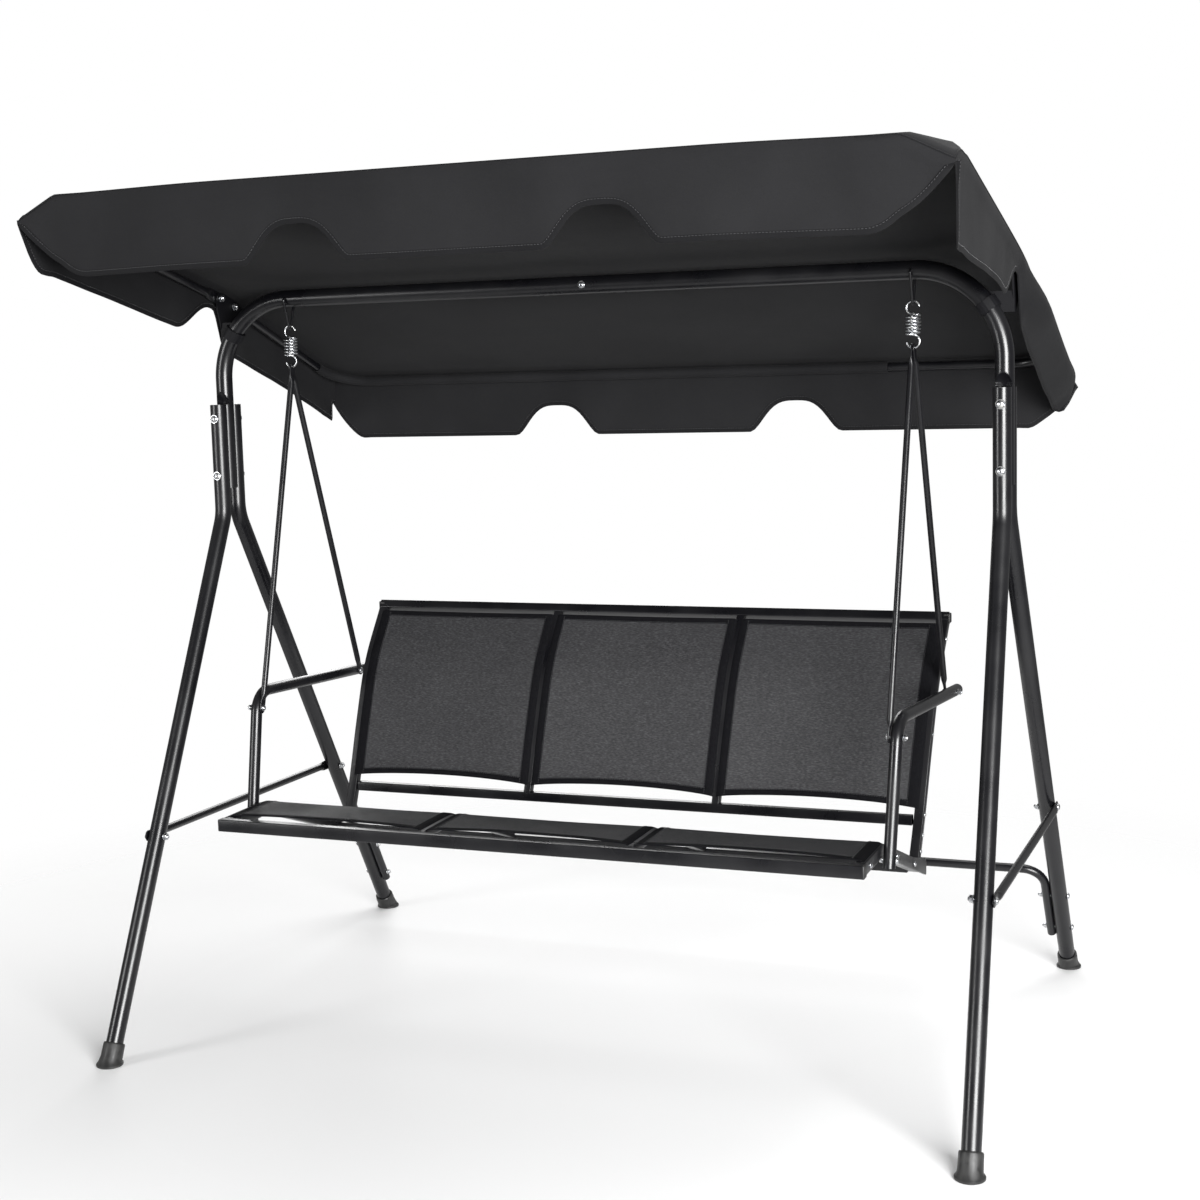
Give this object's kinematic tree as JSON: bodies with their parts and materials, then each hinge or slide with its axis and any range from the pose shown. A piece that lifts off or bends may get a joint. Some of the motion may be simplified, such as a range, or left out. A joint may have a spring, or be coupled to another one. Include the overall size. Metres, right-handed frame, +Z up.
{
  "type": "canopy swing bench",
  "caption": "Garden swing bench: a sling seat hangs from springs under a tubular steel frame with a tilting fabric canopy.",
  "frame": {"origin": "middle of the footprint, on the ground", "axes": "+X along the bench, +Y towards the back of the bench, +Z up"},
  "size_m": [1.753, 1.3064, 1.6834],
  "materials": {
    "frame_paint": "gloss black powder coat",
    "zinc": "bright zinc plate",
    "foot_plastic": "black moulded plastic",
    "canopy_cloth": "matt coated polyester, charcoal black",
    "sling_mesh": "woven vinyl-coated mesh, dark grey"
  },
  "bodies": {
    "frame": {"leg_front_left": "frame_paint", "foot_cap_front_left": "foot_plastic", "brace_bolt_front_left": "zinc", "leg_rear_left": "frame_paint", "foot_cap_rear_left": "foot_plastic", "brace_bolt_rear_left": "zinc", "leg_bolt_upper_left": "zinc", "leg_bolt_lower_left": "zinc", "top_bar_left": "frame_paint", "side_brace_left": "frame_paint", "hanger_stirrup_left": "frame_paint", "canopy_bracket_left": "frame_paint", "leg_front_right": "frame_paint", "foot_cap_front_right": "foot_plastic", "brace_bolt_front_right": "zinc", "leg_rear_right": "frame_paint", "foot_cap_rear_right": "foot_plastic", "brace_bolt_rear_right": "zinc", "leg_bolt_upper_right": "zinc", "leg_bolt_lower_right": "zinc", "top_bar_right": "frame_paint", "side_brace_right": "frame_paint", "hanger_stirrup_right": "frame_paint", "canopy_bracket_right": "frame_paint", "top_bar_splice_bolt": "zinc", "rear_crossbar": "frame_paint"},
    "canopy": {"canopy_pivot_bolt_left": "zinc", "canopy_clamp_bolt_left": "zinc", "canopy_pivot_bolt_right": "zinc", "canopy_clamp_bolt_right": "zinc", "canopy_front_tube": "frame_paint", "canopy_rear_tube": "frame_paint", "canopy_fabric": "canopy_cloth"},
    "springs": {"spring_left": "zinc", "spring_right": "zinc"},
    "seat": {"hanger_rod_front_left": "frame_paint", "hanger_rod_rear_left": "frame_paint", "armrest_left": "frame_paint", "seat_side_rail_left": "frame_paint", "seat_rib_left": "frame_paint", "back_side_rail_left": "frame_paint", "back_rib_left": "frame_paint", "hanger_rod_front_right": "frame_paint", "hanger_rod_rear_right": "frame_paint", "armrest_right": "frame_paint", "seat_side_rail_right": "frame_paint", "seat_rib_right": "frame_paint", "back_side_rail_right": "frame_paint", "back_rib_right": "frame_paint", "seat_front_rail": "frame_paint", "seat_rear_rail": "frame_paint", "back_top_rail": "frame_paint", "back_bottom_rail": "frame_paint", "seat_sling_left": "sling_mesh", "back_sling_left": "sling_mesh", "seat_sling_middle": "sling_mesh", "back_sling_middle": "sling_mesh", "seat_sling_right": "sling_mesh", "back_sling_right": "sling_mesh"}
  },
  "joints": [
    {"name": "swing", "type": "hinge", "parent": "frame", "child": "springs", "pos_m": [0, -0.04725, 1.45], "axis": [1, 0, 0], "range_deg": [-25, 25]},
    {"name": "bounce", "type": "slide", "parent": "springs", "child": "seat", "axis": [0, 0, -1], "range_m": [0, 0.03], "stiffness_N_per_m": 80000, "springref_m": -0.003, "deforming": ["spring_left", "spring_right"]},
    {"name": "canopy_tilt", "type": "hinge", "parent": "frame", "child": "canopy", "pos_m": [0, -0.02725, 1.514], "axis": [1, 0, 0], "range_deg": [-5, 5]}
  ]
}
